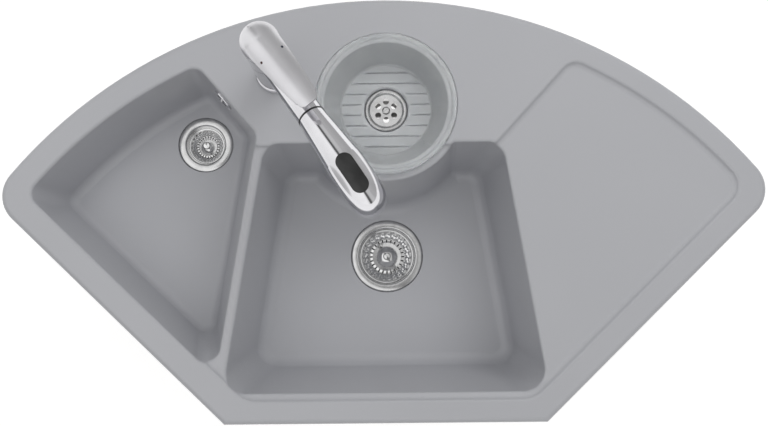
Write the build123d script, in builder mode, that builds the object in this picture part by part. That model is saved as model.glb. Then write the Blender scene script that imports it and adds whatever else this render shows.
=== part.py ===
import os
from math import asin, atan2, cos, hypot, radians, sin, sqrt, tan

from build123d import *

os.makedirs("parts", exist_ok=True)

# Corner sink for a 90 x 90 cm corner cabinet, with its three wastes and a pull-out spray tap.
# The frame: z = 0 is the worktop that the rim lies on, x runs to the right along the front edge,
# y runs back into the corner, and the origin is the middle of the front seating band.

# ---- driving sizes of the ceramic body, in millimetres ----
overall_width = 1080.0
overall_depth = 600.0
seat_inset = 15.0  # the origin lies this far behind the front edge
front_half = 225.0  # half of the straight front edge, measured to its sharp corners
arc_radius = 690.0  # the long curved back edge
tip_radius = 46.0  # rounding of the two side tips
front_corner = 52.0
rim_top = 12.0  # height of the rim above the worktop
rim_round = 8.0
seat_band = 25.0  # width of the band that lies on the worktop
deck_under = 8.0  # how far the deck reaches down inside the cut-out
wall = 10.0
floor_thick = 14.0

field_drop = 7.0  # the drainer and the bowl surround lie this far below the rim
field_band = 35.0
field_front_band = 31.0
field_back_band = 30.0

main_depth = 195.0
left_depth = 140.0
divider_top = 11.2  # thickness of the divider between the two bowls at its top
divider_lean = 9.5  # the long bowl sides lean this many degrees towards the back

# ---- the round bowl, which the other bowls and the tap are set out from ----
ring_radius = 101.0
deck_behind = 50.0  # deck between the ring and the back edge
round_depth = 58.0
ledge_depth = 3.0
boss_radius = 109.0  # the ceramic around the ring, where it stands into the main bowl
boss_flare = 19.0

front_y = -seat_inset
arc_y = front_y + overall_depth - arc_radius
field_z = rim_top - field_drop
round_x = 4.5
round_y = front_y + overall_depth - deck_behind - ring_radius
round_floor_z = rim_top - round_depth
left_floor_z = rim_top - left_depth
main_floor_z = rim_top - main_depth


def meet(a, b):
    """Where two straight sides cross. A side is (nx, ny, d): the line nx * x + ny * y = d."""
    det = a[0] * b[1] - a[1] * b[0]
    return ((a[2] * b[1] - a[1] * b[2]) / det, (a[0] * b[2] - a[2] * b[0]) / det)


def meet_arc(side, radius):
    """Where a straight side crosses a circle about the centre of the back edge, at the back."""
    nx, ny, d = side
    d = d - ny * arc_y
    half = sqrt(radius**2 - d**2)
    ends = [(nx * d - ny * s * half, ny * d + nx * s * half + arc_y) for s in (1, -1)]
    return max(ends, key=lambda p: p[1])


def arc_top(a, b, radius):
    """The point half way along the back arc between two of its points."""
    angle = (atan2(a[1] - arc_y, a[0]) + atan2(b[1] - arc_y, b[0])) / 2
    return (radius * cos(angle), arc_y + radius * sin(angle))


def through(angle, point, beyond=0.0):
    """A side that faces angle and passes beyond a point by a distance."""
    nx, ny = cos(radians(angle)), sin(radians(angle))
    return (nx, ny, nx * point[0] + ny * point[1] + beyond)


def inset_side(side, inset):
    return (side[0], side[1], side[2] - inset)


# each cut-off side runs from a sharp front corner and touches the rounding of its tip
tip_x = overall_width / 2 - tip_radius
tip_y = arc_y + sqrt((arc_radius - tip_radius) ** 2 - tip_x**2)
tip_reach = hypot(tip_x - front_half, tip_y - front_y)
side_turn = atan2(tip_y - front_y, tip_x - front_half) - asin(tip_radius / tip_reach)
front_side = (0.0, -1.0, -front_y)
right_side = (sin(side_turn), -cos(side_turn), front_half * sin(side_turn) - front_y * cos(side_turn))
left_side = (-right_side[0], right_side[1], right_side[2])


def plan(inset):
    """The plan outline of the whole sink, moved in by inset."""
    right = inset_side(right_side, inset)
    left = inset_side(left_side, inset)
    front = inset_side(front_side, inset)
    radius = arc_radius - inset
    right_tip = meet_arc(right, radius)
    left_tip = meet_arc(left, radius)
    with BuildSketch() as s:
        with BuildLine():
            Polyline(left_tip, meet(left, front), meet(front, right), right_tip)
            ThreePointArc(right_tip, arc_top(right_tip, left_tip, radius), left_tip)
        make_face()
        tips = s.vertices().group_by(Axis.Y)[-1]
        fronts = s.vertices().group_by(Axis.Y)[0]
        fillet(tips, tip_radius - inset * 0.7)
        fillet(fronts, front_corner - inset * 0.7)
    return s.sketch


# ---- main bowl: a trapezium whose sides draw in from rim to floor ----
slant = radians(divider_lean)
main_back = round_y - 56.0
main_front = front_y + 41.0
main_half = front_half - 25.0  # half width at main_mid
main_mid = round_y - 234.0
main_line = main_half * cos(slant) + main_mid * sin(slant)
main_runs = {"side": 20.0, "back": 19.0, "front": 30.0}
main_back_corner = 26.0
main_front_corner = 30.0
main_floor_round = 20.0
boss_foot = 21.0

# ---- left bowl: sides as lines, each with the distance it draws in from rim to floor ----
left_band = 39.7  # rim between the side edge and the left bowl
left_turn = 40.8  # the side with the overflow, towards the tap
left_behind = 167.0  # from the round bowl's middle to that side
left_front = inset_side(left_side, left_band)
left_right = (cos(slant), -sin(slant), -main_line - divider_top)
left_diag = through(left_turn, (round_x, round_y), -left_behind)
left_arc = arc_radius - 38.0
left_runs = {"front": 13.0, "right": 32.0, "diag": 10.0, "arc": 12.0}
left_corner = 19.0
left_floor_round = 14.0


def left_outline(z, grow=0.0):
    """Plan outline of the left bowl at height z, grown outwards by grow."""
    down = (rim_top - z) / left_depth
    front = inset_side(left_front, left_runs["front"] * down - grow)
    right = inset_side(left_right, left_runs["right"] * down - grow)
    diag = inset_side(left_diag, left_runs["diag"] * down - grow)
    radius = left_arc - left_runs["arc"] * down + grow
    a = meet_arc(front, radius)
    b = meet_arc(diag, radius)
    c = meet(right, diag)
    d = meet(front, right)
    with BuildSketch() as s:
        with BuildLine():
            Polyline(a, d, c, b)
            ThreePointArc(b, arc_top(a, b, radius), a)
        make_face()
        for corner in (a, b, c, d):
            near = s.vertices().sort_by_distance(Vector(*corner))[0]
            fillet(near, left_corner + grow)
    return s.sketch


def main_outline(z, grow=0.0):
    """Plan outline of the main bowl at height z, before the round bowl's boss stands into it."""
    down = (rim_top - z) / main_depth
    side_line = main_line - main_runs["side"] * down + grow
    right = (cos(slant), sin(slant), side_line)
    left = (-cos(slant), sin(slant), side_line)
    back = (0.0, 1.0, main_back - main_runs["back"] * down + grow)
    front = (0.0, -1.0, -main_front - main_runs["front"] * down + grow)
    with BuildSketch() as s:
        with BuildLine():
            Polyline(meet(left, back), meet(right, back), meet(right, front), meet(left, front), close=True)
        make_face()
        fillet(s.vertices().group_by(Axis.Y)[-1], main_back_corner + grow)
        fillet(s.vertices().group_by(Axis.Y)[0], main_front_corner + grow)
    return s.sketch


def boss(grow, foot):
    """The round bowl's boss in the main bowl: a cone that flares into the floor by foot."""
    floor_z = main_floor_z - (floor_thick if grow else 0.0)
    low = boss_radius + boss_flare - grow
    high = boss_radius - grow
    lean_out = atan2(boss_flare, main_depth)
    with BuildPart(mode=Mode.PRIVATE) as cone:
        with BuildSketch(Plane.XZ.offset(-round_y)):
            with BuildLine():
                Polyline(
                    (round_x, rim_top + 2),
                    (round_x + high, rim_top + 2),
                    (round_x + low, floor_z),
                    (round_x + low + 60, floor_z),
                    (round_x + low + 60, floor_z - 5),
                    (round_x, floor_z - 5),
                    close=True,
                )
            make_face()
        revolve(axis=Axis((round_x, round_y, 0), (0, 0, 1)))
        if foot:
            rings = cone.edges().filter_by(GeomType.CIRCLE).filter_by(lambda e: abs(e.radius - low) < 0.01)
            fillet(rings.filter_by(lambda e: abs(e.center().Z - floor_z) < 0.01), foot)
    return cone.part


drain_turn = 137.4  # the way the drainer's diagonal step faces
drain_beyond = 8.0  # how far it passes beyond the main bowl's back corner
divider_side = 34.4  # the field's edge lies this far inside the left bowl's opening


def field_outline(inset):
    """The sunk field: drainer, bowl surround and the top of the divider."""
    radius = arc_radius - field_back_band - inset
    back = (0.0, 1.0, main_back - 2.0 - inset)
    bowl_corner = meet((cos(slant), sin(slant), main_line), (0.0, 1.0, main_back))
    drain = through(drain_turn, bowl_corner, drain_beyond - inset)
    right = inset_side(right_side, field_band + inset)
    front = inset_side(front_side, field_front_band + inset)
    left = inset_side(left_front, 3.0 + inset)
    turned = slant + radians(1.6)
    divider = (-cos(turned), sin(turned), main_line + divider_top + divider_side - inset)
    p = [
        meet(divider, back),
        meet(back, drain),
        meet_arc(drain, radius),
        meet_arc(right, radius),
        meet(right, front),
        meet(front, left),
        meet(left, divider),
    ]
    with BuildSketch() as s:
        with BuildLine():
            Polyline(p[0], p[1], p[2])
            ThreePointArc(p[2], arc_top(p[2], p[3], radius), p[3])
            Polyline(p[3], p[4], p[5], p[6], p[0])
        make_face()
        for corner, r in ((p[1], 18), (p[2], 26), (p[3], 30), (p[4], 40), (p[5], 40)):
            near = s.vertices().sort_by_distance(Vector(*corner))[0]
            fillet(near, r - inset)
    return s.sketch


def turn(points, at, mode=Mode.ADD):
    """Turn a closed profile of (radius, height) points about the upright line through at."""
    with BuildSketch(Plane(origin=at, x_dir=(1, 0, 0), z_dir=(0, -1, 0))) as profile:
        with BuildLine():
            Polyline(*points, close=True)
        make_face()
    revolve(profile.sketch, axis=Axis(at, (0, 0, 1)), mode=mode)


def disc(at, radius, height, mode=Mode.ADD):
    """An upright cylinder that stands on at, or hangs from it where height is negative."""
    with BuildSketch(Plane(origin=at)) as circle:
        Circle(radius)
    extrude(circle.sketch, amount=height, mode=mode)


def keep(made, label):
    made.part.label = label
    export_step(made.part, f"parts/{label}.step")


# ---- the wastes ----
divider_end = meet(left_right, left_diag)  # the left bowl's corner beside the divider
main_waste_at = (4.0, round_y - 209.0, main_floor_z)
left_waste_at = (divider_end[0] - 95.0, divider_end[1] + 6.0, left_floor_z)
grid_waste_at = (round_x, round_y, round_floor_z)
seal_thick = 1.5
flange_thick = 2.5
sheet = 1.4  # stainless sheet of the waste cups and baskets
waste_sizes = {
    "main": {"at": main_waste_at, "flange": 56.5, "cup": 44.2, "step": 39.6, "step_down": 8.0},
    "left": {"at": left_waste_at, "flange": 42.0, "cup": 30.0, "step": 24.4, "step_down": 12.0},
}
cup_down = 30.0
recess_gap = 0.6
cup_gap = 0.8
recess_down = seal_thick + flange_thick
grid_flange = 31.5
grid_tail = 22.0
outlet_radius = 23.9  # male G 1 1/2 thread
outlet_length = 28.0

# ---- the overflow in the slanting wall of the left bowl ----
overflow_z = -24.0
overflow_hole = 12.0
overflow_plate = 18.0
diag_turn = radians(left_turn)
overflow_from_divider = 77.0
overflow_along = (
    divider_end[1] * cos(diag_turn) - divider_end[0] * sin(diag_turn) + overflow_from_divider
)
diag_draw = left_runs["diag"] / left_depth
diag_line = left_diag[2] - diag_draw * (rim_top - overflow_z)
overflow_at = (
    diag_line * cos(diag_turn) - overflow_along * sin(diag_turn),
    diag_line * sin(diag_turn) + overflow_along * cos(diag_turn),
    overflow_z,
)
overflow_wall = Plane(
    origin=overflow_at,
    x_dir=(-sin(diag_turn), cos(diag_turn), 0),
    z_dir=(-cos(diag_turn), -sin(diag_turn), diag_draw),
)

# ---- the tap ----
tap_x, tap_y = round_x - 156.5, round_y + 43.0
tap_turn = -56.0  # the spout points over the main bowl
lever_turn = -52.0  # the lever rests a little to the left of the spout
tap_hole = 17.5

# ---- the ceramic body ----
left_edge, main_edge = 5.0, 4.5  # rounding of the bowl edges
step_taper = 35  # the soft step down to the sunk field, in degrees from upright
step_foot = 8.0
step_round = 4.5

with BuildPart() as main_space:
    with BuildSketch(Plane.XY.offset(rim_top + 1)):
        add(main_outline(rim_top + 1))
    with BuildSketch(Plane.XY.offset(main_floor_z)):
        add(main_outline(main_floor_z))
    loft(ruled=True)
    fillet(main_space.edges().group_by(Axis.Z)[0], main_floor_round)
    add(boss(0, boss_foot), mode=Mode.SUBTRACT)
    corners = main_space.edges().filter_by(
        lambda e: e.bounding_box().size.Z > main_depth / 2 and abs(e.center().X - round_x) < boss_radius
    )
    fillet(corners, 10.0)

with BuildPart() as left_space:
    with BuildSketch(Plane.XY.offset(rim_top + 1)):
        add(left_outline(rim_top + 1))
    with BuildSketch(Plane.XY.offset(left_floor_z)):
        add(left_outline(left_floor_z))
    loft(ruled=True)
    fillet(left_space.edges().group_by(Axis.Z)[0], left_floor_round)

with BuildPart() as main_shell:
    with BuildSketch(Plane.XY):
        add(main_outline(0, wall))
    with BuildSketch(Plane.XY.offset(main_floor_z - floor_thick)):
        add(main_outline(main_floor_z - floor_thick, wall))
    loft(ruled=True)
    fillet(main_shell.edges().group_by(Axis.Z)[0], 30)
    add(boss(wall, 0), mode=Mode.SUBTRACT)

with BuildPart() as left_shell:
    with BuildSketch(Plane.XY):
        add(left_outline(0, wall))
    with BuildSketch(Plane.XY.offset(left_floor_z - floor_thick)):
        add(left_outline(left_floor_z - floor_thick, wall))
    loft(ruled=True)
    fillet(left_shell.edges().group_by(Axis.Z)[0], 22)


def bowl_edges(part, space):
    """The edges where a bowl's space comes out through the top of the part."""
    found = []
    for edge in part.edges():
        box = edge.bounding_box()
        if box.min.Z < field_z - 0.5:
            continue
        if all(space.distance_to(Vertex(*(edge @ t))) < 0.05 for t in (0.1, 0.5, 0.9)):
            found.append(edge)
    return found


with BuildPart() as sink_body:
    # the rim, and the deck that reaches down inside the cut-out
    with BuildSketch(Plane.XY):
        add(plan(0))
    extrude(amount=rim_top)
    fillet(sink_body.edges().group_by(Axis.Z)[-1], rim_round)
    fillet(sink_body.edges().group_by(Axis.Z)[0], 2.0)
    with BuildSketch(Plane.XY.offset(-deck_under)):
        add(plan(seat_band))
    extrude(amount=deck_under)
    # the sunk field with its soft step
    with BuildSketch(Plane.XY.offset(rim_top)):
        add(field_outline(0))
    extrude(amount=-field_drop, taper=step_taper, mode=Mode.SUBTRACT)
    low_step = sink_body.edges().filter_by(
        lambda e: abs(e.center().Z - field_z) < 0.01 and e.bounding_box().size.Z < 0.01
    )
    fillet(low_step, step_foot)
    rim_face = sink_body.faces().filter_by(
        lambda f: abs(f.center().Z - rim_top) < 0.01 and f.geom_type == GeomType.PLANE
    )[0]
    fillet(rim_face.inner_wires()[0].edges(), step_round)
    # the shells of the three bowls
    add(left_shell.part)
    add(main_shell.part)
    shell_low = round_floor_z - floor_thick
    turn(((0, 0), (ring_radius - 1, 0), (88, shell_low), (0, shell_low)), (round_x, round_y, 0))
    # the spaces inside them
    add(left_space.part, mode=Mode.SUBTRACT)
    add(main_space.part, mode=Mode.SUBTRACT)
    fillet(bowl_edges(sink_body.part, left_space.part), left_edge)
    fillet(bowl_edges(sink_body.part, main_space.part), main_edge)
    ledge_z = rim_top - ledge_depth
    turn(
        (
            (0, rim_top + 1), (ring_radius + 1, rim_top + 1), (ring_radius + 1, ledge_z),
            (ring_radius - 10, ledge_z), (80, round_floor_z + 4), (74, round_floor_z), (0, round_floor_z),
        ),
        (round_x, round_y, 0),
        mode=Mode.SUBTRACT,
    )
    # seats and holes for the wastes
    for size in waste_sizes.values():
        disc(size["at"], size["flange"] + recess_gap, -recess_down, mode=Mode.SUBTRACT)
        disc(size["at"], size["cup"] + sheet + cup_gap, -floor_thick - 1, mode=Mode.SUBTRACT)
    disc(grid_waste_at, grid_flange + recess_gap, -recess_down, mode=Mode.SUBTRACT)
    disc(grid_waste_at, grid_tail + cup_gap, -floor_thick - 1, mode=Mode.SUBTRACT)
    with BuildSketch(overflow_wall.offset(5)):
        Circle(overflow_hole)
    extrude(amount=-wall - 9, mode=Mode.SUBTRACT)
    disc((tap_x, tap_y, rim_top + 1), tap_hole, -rim_top - deck_under - 2, mode=Mode.SUBTRACT)
keep(sink_body, "sink_body")


# ---- basket wastes: flange with its cup, seals, the body below, the screw and the basket ----
def above(at, height):
    return (at[0], at[1], at[2] + height)


under_z = -floor_thick  # the ceramic underside, below the bowl floor
inlet_from, inlet_length = 42.0, 20.0  # the overflow pipe's spigot on the left waste
inlet_collar_r, inlet_r, inlet_bore = 12.2, 11.0, 8.5
lobes = 24
for name, size in waste_sizes.items():
    at, flange, cup = size["at"], size["flange"], size["cup"]
    step, step_z, cup_z = size["step"], -size["step_down"], -cup_down
    hole = cup + sheet + cup_gap
    screw_radius = 3.0

    with BuildPart() as waste_seal:
        turn(
            (
                (hole, -recess_down), (flange - 1, -recess_down),
                (flange - 1, -flange_thick), (hole, -flange_thick),
            ),
            at,
        )
    keep(waste_seal, f"{name}_waste_seal")

    with BuildPart() as waste_flange:
        turn(
            (
                (cup, -0.8), (cup + 1.2, 0.4), (flange - 3, 0.4), (flange, -1.2), (flange, -flange_thick),
                (cup + sheet, -flange_thick), (cup + sheet, step_z - sheet), (step + sheet, step_z - sheet),
                (step + sheet, cup_z - sheet), (screw_radius + 0.2, cup_z - sheet),
                (screw_radius + 0.2, cup_z), (step, cup_z), (step, step_z), (cup, step_z),
            ),
            at,
        )
        with BuildSketch(Plane(origin=above(at, cup_z - sheet - 1))):
            with PolarLocations(step * 0.6, 8):
                Circle(step * 0.17)
        extrude(amount=sheet + 2, mode=Mode.SUBTRACT)
    keep(waste_flange, f"{name}_waste_flange")

    body_top = under_z - seal_thick
    body_low = cup_z - 16
    with BuildPart() as under_seal:
        turn(((hole, under_z), (flange - 2, under_z), (flange - 2, body_top), (hole, body_top)), at)
    keep(under_seal, f"{name}_waste_under_seal")

    with BuildPart() as waste_body:
        outlet_low = body_low - outlet_length
        turn(
            (
                (hole, body_top), (flange - 2, body_top), (flange - 2, body_top - 4),
                (hole + 3, body_top - 7), (hole + 3, cup_z - 6),
                (outlet_radius + 2, body_low), (outlet_radius, body_low - 4),
                (outlet_radius, outlet_low), (outlet_radius - 3, outlet_low), (outlet_radius - 3, body_low),
                (hole, cup_z - 4),
            ),
            at,
        )
        # the bar across the outlet that takes the screw
        with BuildSketch(Plane(origin=above(at, body_low - 6))):
            Rectangle(outlet_radius * 2 - 4, 7)
            Circle(7)
        extrude(amount=cup_z - sheet - body_low + 6)
        disc(above(at, body_low - 7), screw_radius + 0.05, 60, mode=Mode.SUBTRACT)
        if name == "left":
            # side inlet for the overflow pipe
            inlet = Plane(origin=above(at, cup_z + 2), x_dir=(0, 0, 1), z_dir=(0, 1, 0))
            with BuildSketch(inlet.offset(hole - 2)):
                Circle(inlet_collar_r)
            extrude(amount=inlet_from - hole + 2)
            with BuildSketch(inlet.offset(inlet_from)):
                Circle(inlet_r)
            extrude(amount=inlet_length)
            with BuildSketch(inlet.offset(hole - 3)):
                Circle(inlet_bore)
            extrude(amount=inlet_from + inlet_length, mode=Mode.SUBTRACT)
    keep(waste_body, f"{name}_waste_body")

    with BuildPart() as waste_screw:
        turn(
            (
                (0, cup_z + 3), (4, cup_z + 3), (6, cup_z + 1), (6, cup_z), (screw_radius, cup_z),
                (screw_radius, body_low - 2), (0, body_low - 2),
            ),
            at,
        )
    keep(waste_screw, f"{name}_waste_screw")

    rest_z = step_z + 0.3
    rim_r = step + (cup - step) * 0.62
    deep = cup_z + 5.5
    with BuildPart() as basket:
        turn(
            (
                (rim_r, rest_z), (rim_r, rest_z + 1.6), (step - 1.2, rest_z + 1.6), (step - 2.4, rest_z - 4),
                (step * 0.86, rest_z - 6), (step * 0.74, deep + sheet), (step * 0.6, deep + sheet),
                (step * 0.55, deep + 4), (step * 0.2, rest_z - 3), (0, rest_z - 3),
                (0, rest_z - 3 - sheet), (step * 0.2, rest_z - 3 - sheet), (step * 0.5, deep + 3),
                (step * 0.57, deep), (step * 0.77, deep), (step * 0.9, rest_z - 6 - sheet),
                (step - 1.2, rest_z - 6), (step - 0.6, rest_z),
            ),
            at,
        )
        # slots right through the slanting side, one in each lobe
        with BuildSketch(Plane(origin=above(at, deep - 2))):
            with PolarLocations(step * 0.755, lobes):
                Rectangle(step * 0.19, step * 0.055)
        extrude(amount=rest_z - deep - 3, mode=Mode.SUBTRACT)
    keep(basket, f"{name}_basket")

    with BuildPart() as knob:
        turn(
            (
                (0, rest_z - 3), (3, rest_z - 3), (3, rest_z), (5.6, rest_z + 2), (6, rest_z + 4.5),
                (4.5, rest_z + 6), (0, rest_z + 6.4),
            ),
            at,
        )
    keep(knob, f"{name}_basket_knob")

    with BuildPart() as basket_seal:
        turn(
            (
                (step * 0.58, deep), (step * 0.76, deep), (step * 0.72, deep - 2.5), (step * 0.6, deep - 2.5),
            ),
            at,
        )
    keep(basket_seal, f"{name}_basket_seal")

# ---- the grid waste of the round bowl ----
with BuildPart() as grid_seal:
    turn(
        (
            (grid_tail + cup_gap, -recess_down), (grid_flange - 1, -recess_down),
            (grid_flange - 1, -flange_thick), (grid_tail + cup_gap, -flange_thick),
        ),
        grid_waste_at,
    )
keep(grid_seal, "grid_waste_seal")

grid_drop = 2.0
with BuildPart() as grid_waste_flange:
    turn(
        (
            (3, -grid_drop), (grid_flange - 8, -grid_drop), (grid_flange - 5, 0.6), (grid_flange - 1.5, 0.6),
            (grid_flange, -1), (grid_flange, -flange_thick), (grid_tail, -flange_thick), (grid_tail, -30),
            (grid_tail - 2, -30), (grid_tail - 2, -grid_drop - 2), (3, -grid_drop - 2),
        ),
        grid_waste_at,
    )
    with BuildSketch(Plane(origin=above(grid_waste_at, -grid_drop - 3))):
        with PolarLocations(13.5, 6, start_angle=30):
            Circle(4.4)
    extrude(amount=4, mode=Mode.SUBTRACT)
keep(grid_waste_flange, "grid_waste_flange")

with BuildPart() as grid_under_seal:
    turn(
        (
            (grid_tail + cup_gap, under_z), (grid_flange - 1, under_z),
            (grid_flange - 1, under_z - seal_thick), (grid_tail + cup_gap, under_z - seal_thick),
        ),
        grid_waste_at,
    )
keep(grid_under_seal, "grid_waste_under_seal")

grid_top = under_z - seal_thick
with BuildPart() as grid_waste_body:
    turn(
        (
            (grid_tail + 0.2, grid_top), (grid_flange, grid_top), (grid_flange, grid_top - 5),
            (grid_tail + 5, grid_top - 9), (grid_tail + 5, -36), (outlet_radius, -40),
            (outlet_radius, -40 - outlet_length), (outlet_radius - 3, -40 - outlet_length),
            (outlet_radius - 3, -31), (grid_tail + 0.2, -31),
        ),
        grid_waste_at,
    )
    with BuildSketch(Plane(origin=above(grid_waste_at, -44))):
        Rectangle(outlet_radius * 2 - 4, 6)
        Circle(6)
    extrude(amount=12)
    disc(above(grid_waste_at, -45), 2.55, 14, mode=Mode.SUBTRACT)
keep(grid_waste_body, "grid_waste_body")

with BuildPart() as grid_waste_screw:
    turn(((0, 0.4), (4, 0.4), (6, -grid_drop), (2.5, -grid_drop), (2.5, -42), (0, -42)), grid_waste_at)
    with BuildSketch(Plane(origin=above(grid_waste_at, -0.8))):
        Rectangle(14, 1.4, rotation=35)
    extrude(amount=2, mode=Mode.SUBTRACT)
keep(grid_waste_screw, "grid_waste_screw")

# ---- the strainer bowl that hangs in the round bowl ----
ring_top = 17.0
ring_low = ledge_z + 0.3
plastic = 2.2
bowl_top_radius = 87.0
shelf_radius = ring_radius - 7.4
shelf_z = ring_top - 4.2
bowl_low_radius = 67.0
bowl_floor_z = round_floor_z + 6.0
bowl_hole = 33.5  # the floor is open over the grid waste
slot_pitch = 15.6
with BuildPart() as strainer_bowl:
    # a raised lip outside, a step down to a shelf, and the slanting wall inside
    turn(
        (
            (ring_radius, ring_low), (ring_radius, ring_top - 3), (ring_radius - 0.9, ring_top - 0.9),
            (ring_radius - 3, ring_top), (ring_radius - 5.2, ring_top - 0.5),
            (ring_radius - 6.6, ring_top - 2), (shelf_radius, shelf_z + 0.8), (shelf_radius - 1, shelf_z),
            (bowl_top_radius + 2.4, shelf_z),
            (bowl_top_radius + 0.7, shelf_z - 0.9), (bowl_top_radius, shelf_z - 2.6),
            (bowl_low_radius + 0.8, bowl_floor_z + 2), (bowl_low_radius - 1.5, bowl_floor_z),
            (bowl_hole, bowl_floor_z), (bowl_hole, bowl_floor_z - plastic),
            (bowl_low_radius + plastic, bowl_floor_z - plastic),
            (bowl_top_radius + plastic, shelf_z - plastic - 1), (bowl_top_radius + 3, shelf_z - plastic),
            (shelf_radius + 1, shelf_z - plastic), (ring_radius - 5.4, ring_top - plastic - 0.9),
            (ring_radius - 3.6, ring_top - plastic), (ring_radius - plastic, ring_top - 4),
            (ring_radius - plastic, ring_low),
        ),
        (round_x, round_y, 0),
    )
    reach = bowl_low_radius - 4
    with BuildSketch(Plane((round_x, round_y, bowl_floor_z - plastic - 1))):
        for row in (-3.5, -2.5, -1.5, -0.5, 0.5, 1.5, 2.5, 3.5):
            across = row * slot_pitch
            outer_end = sqrt(reach**2 - across**2)
            inner_end = sqrt(max((bowl_hole + 4) ** 2 - across**2, 0.0))
            if inner_end:
                middle = (outer_end + inner_end) / 2
                with Locations((-middle, across), (middle, across)):
                    Rectangle(outer_end - inner_end, 2.2)
            else:
                with Locations((0, across)):
                    Rectangle(outer_end * 2, 2.2)
    extrude(amount=plastic + 2, mode=Mode.SUBTRACT)
keep(strainer_bowl, "strainer_bowl")

# ---- the overflow ----
with BuildPart() as overflow_plate_piece:
    with BuildSketch(overflow_wall):
        Circle(overflow_plate)
        Circle(2.6, mode=Mode.SUBTRACT)
        with PolarLocations(10.2, 6):
            Circle(3.2, mode=Mode.SUBTRACT)
    extrude(amount=2.6)
    rings = overflow_plate_piece.edges().filter_by(GeomType.CIRCLE)
    rims = rings.filter_by(lambda e: abs(e.radius - overflow_plate) < 0.01)
    fillet(rims.sort_by(Axis(overflow_at, tuple(overflow_wall.z_dir)))[-1:], 1.6)
keep(overflow_plate_piece, "overflow_plate")

with BuildPart() as overflow_seal:
    with BuildSketch(overflow_wall.offset(-wall - 0.4)):
        Circle(15.4)
        Circle(overflow_hole + 0.4, mode=Mode.SUBTRACT)
    extrude(amount=-2)
keep(overflow_seal, "overflow_seal")

with BuildPart() as overflow_elbow:
    with BuildSketch(overflow_wall.offset(-wall - 2.4)):
        Circle(15.4)
    extrude(amount=-22)
    spigot_at = overflow_wall.offset(-wall - 13.4).origin
    disc((spigot_at.X, spigot_at.Y, spigot_at.Z), 9.9, -46)
    with BuildSketch(overflow_wall.offset(-wall - 2.4)):
        Circle(12.6)
    extrude(amount=-19, mode=Mode.SUBTRACT)
    disc((spigot_at.X, spigot_at.Y, spigot_at.Z), 7.5, -47, mode=Mode.SUBTRACT)
    with BuildSketch(overflow_wall.offset(-wall - 6)):
        Circle(5)
    extrude(amount=-17)
    with BuildSketch(overflow_wall.offset(-wall - 5)):
        Circle(2.45)
    extrude(amount=-14, mode=Mode.SUBTRACT)
keep(overflow_elbow, "overflow_elbow")

with BuildPart() as overflow_screw:
    with BuildSketch(overflow_wall.offset(2.6)):
        Circle(4.6)
    extrude(amount=2)
    with BuildSketch(overflow_wall.offset(2.6)):
        Circle(2.4)
    extrude(amount=-wall - 17)
    with BuildSketch(overflow_wall.offset(3.6)):
        Rectangle(12, 1.2, rotation=50)
    extrude(amount=2, mode=Mode.SUBTRACT)
keep(overflow_screw, "overflow_screw")

# ---- the tap: heights are above the deck, s runs along the spout and t to its side ----
def directions(turn):
    """The level unit vectors ahead and to the left of a heading."""
    ahead = (cos(radians(turn)), sin(radians(turn)), 0.0)
    return ahead, (-ahead[1], ahead[0], 0.0)


spout_dir, side_dir = directions(tap_turn)
lever_dir, lever_side = directions(lever_turn)
tap_at = (tap_x, tap_y, rim_top)


def at_tap(s, h, t=0.0, ahead=spout_dir):
    return (
        tap_x + s * ahead[0] - t * ahead[1],
        tap_y + s * ahead[1] + t * ahead[0],
        rim_top + h,
    )


def at_lever(s, h, t=0.0):
    return at_tap(s, h, t, lever_dir)


def level(h, ahead=spout_dir):
    """A level plane at height h over the tap hole, its x axis ahead."""
    return Plane(origin=at_tap(0, h), x_dir=ahead, z_dir=(0, 0, 1))


def across_lever(t):
    """A plane square to the lever's hinge axis, t to the lever's left."""
    return Plane(origin=at_lever(0, hinge_h, t), x_dir=lever_dir, z_dir=lever_side)


def ahead_lever(s, h):
    """A plane square to the lever, s ahead of the tap's axis."""
    return Plane(origin=at_lever(s, h), x_dir=lever_side, z_dir=lever_dir)


lever_plane = Plane(origin=tap_at, x_dir=lever_dir, z_dir=(lever_dir[1], -lever_dir[0], 0))
spout_rise = 22.0
rise = radians(spout_rise)
up_spout = (cos(rise) * spout_dir[0], cos(rise) * spout_dir[1], sin(rise))
shoulder_h = 118.0  # the body's shoulder, which the spout turns on
spout_h = shoulder_h + 22.0  # where the spout's axis leaves the body's axis
seam_s = 115.0


def along(distance):
    """A plane square to the spout at a distance along its axis from the body's axis."""
    s = distance * cos(rise)
    h = spout_h + distance * sin(rise)
    return Plane(origin=at_tap(s, h), x_dir=side_dir, z_dir=up_spout)


body_r = 25.0
neck_r = 20.0
bore_r = 16.5
liner_r = 17.6
liner_h = shoulder_h + 46.0  # the cartridge's seat
ring_h = shoulder_h + 57.0  # the top ring
neck_top = shoulder_h + 62.0
nut_h = shoulder_h + 64.0
ring_top_h = shoulder_h + 68.0
base_h = 9.0
running = 0.08

with BuildPart() as tap_gasket:
    turn(((tap_hole, 0), (26.5, 0), (26.5, 1.5), (tap_hole, 1.5)), tap_at)
keep(tap_gasket, "tap_gasket")

with BuildPart() as tap_base_ring:
    turn(((tap_hole, 1.5), (27.8, 1.5), (28, 2.2), (28, 5.5), (26.2, base_h), (tap_hole, base_h)), tap_at)
keep(tap_base_ring, "tap_base_ring")

with BuildPart() as tap_body:
    turn(
        (
            (bore_r, base_h), (body_r, base_h), (body_r, shoulder_h), (neck_r, shoulder_h),
            (neck_r, neck_top), (liner_r, neck_top), (liner_r, liner_h), (bore_r, liner_h),
        ),
        tap_at,
    )
    # the window that lets the hose swing round with the spout
    with BuildSketch(level(spout_h - 7)):
        Circle(neck_r + 2)
        Circle(bore_r - 2, mode=Mode.SUBTRACT)
        with BuildLine():
            Polyline((0, 0), (-40, 20), (-40, -20), close=True)
        make_face(mode=Mode.SUBTRACT)
    extrude(amount=29, mode=Mode.SUBTRACT)
keep(tap_body, "tap_body")

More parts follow.
